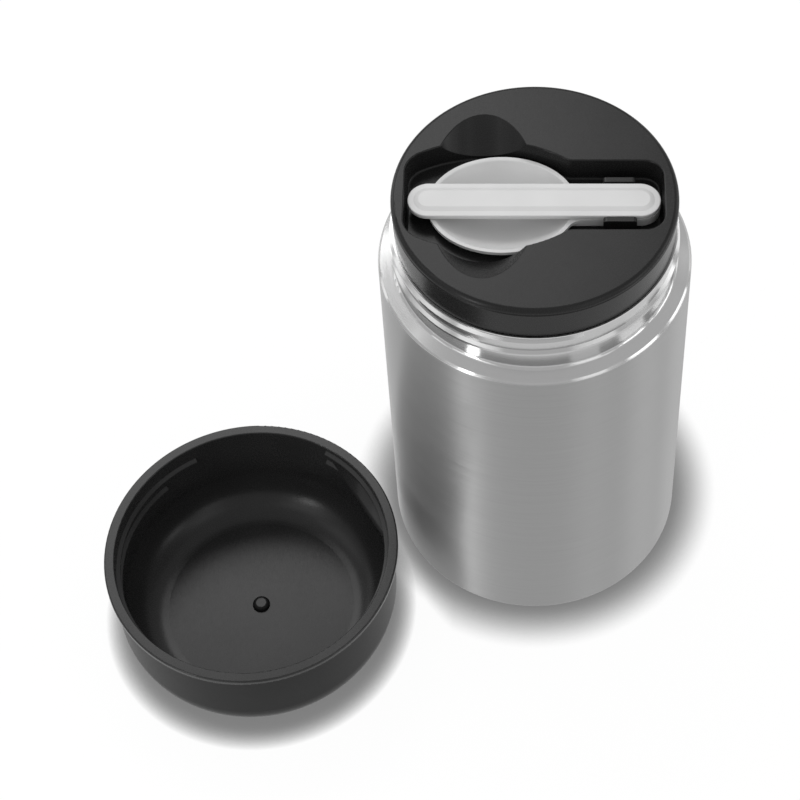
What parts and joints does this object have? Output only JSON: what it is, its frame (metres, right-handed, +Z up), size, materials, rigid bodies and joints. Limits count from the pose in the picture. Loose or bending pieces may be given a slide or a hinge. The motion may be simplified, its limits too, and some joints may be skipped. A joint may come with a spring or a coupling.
{
  "type": "insulated food jar",
  "caption": "Vacuum-insulated steel food jar with a screw stopper that stores a folding spoon, and a screw-on serving cup standing open beside it.",
  "frame": {"origin": "centre of the jar's underside, on the surface that the jar stands on", "axes": "+Z up along the jar's axis; +X towards the spoon's pivot end; the cup stands on the same surface at -X, -Y"},
  "size_m": [0.1879, 0.1433, 0.1648],
  "materials": {
    "outer_steel": "brushed around the body",
    "inner_steel": "polished",
    "foil": "bright foil",
    "getter_metal": "pressed powder",
    "seal_glass": "solder glass",
    "black_plastic": "moulded, fine texture",
    "cup_plastic": "moulded, satin",
    "foam": "rigid foam",
    "silicone": "matte",
    "spoon_plastic": "moulded, satin",
    "pin_steel": "turned"
  },
  "bodies": {
    "jar": {"outer_shell": "outer_steel", "inner_vessel": "inner_steel", "base_plate": "inner_steel", "vacuum_seal": "seal_glass", "base_cover": "outer_steel", "getter_tablet": "getter_metal", "getter_clip": "inner_steel", "heat_shield": "foil"},
    "stopper_ring": {"stopper_seal": "silicone"},
    "stopper": {"stopper_cover": "black_plastic", "stopper_plug": "black_plastic", "stopper_insulation": "foam"},
    "spoon": {"spoon_bowl": "spoon_plastic"},
    "handle": {"spoon_handle": "spoon_plastic", "spoon_pin": "pin_steel"},
    "cup": {"serving_cup": "cup_plastic"}
  },
  "joints": [
    {"name": "stopper_rise", "type": "slide", "parent": "jar", "child": "stopper_ring", "axis": [0, 0, 1], "range_m": [0, 0.036]},
    {"name": "stopper_turn", "type": "hinge", "parent": "stopper_ring", "child": "stopper", "pos_m": [0, 0, 0.1522], "axis": [0, 0, 1], "range_deg": [0, 1080]},
    {"name": "spoon_lift", "type": "slide", "parent": "stopper", "child": "spoon", "axis": [0, 0, 1], "range_m": [0, 0.15]},
    {"name": "handle_unfold", "type": "hinge", "parent": "spoon", "child": "handle", "pos_m": [0.0313, 0, 0.1604], "axis": [0, 0, 1], "range_deg": [0, 180]},
    {"name": "cup_lift", "type": "slide", "parent": "jar", "child": "cup", "axis": [0, 0, 1], "range_m": [0, 0.15]}
  ],
  "couplings": [
    {"joint": "stopper_rise", "follows": "stopper_turn", "m_per_rad": 0.0019099},
    {"joint": "handle_unfold", "follows": "spoon_lift", "rad_per_m": 20.944}
  ]
}
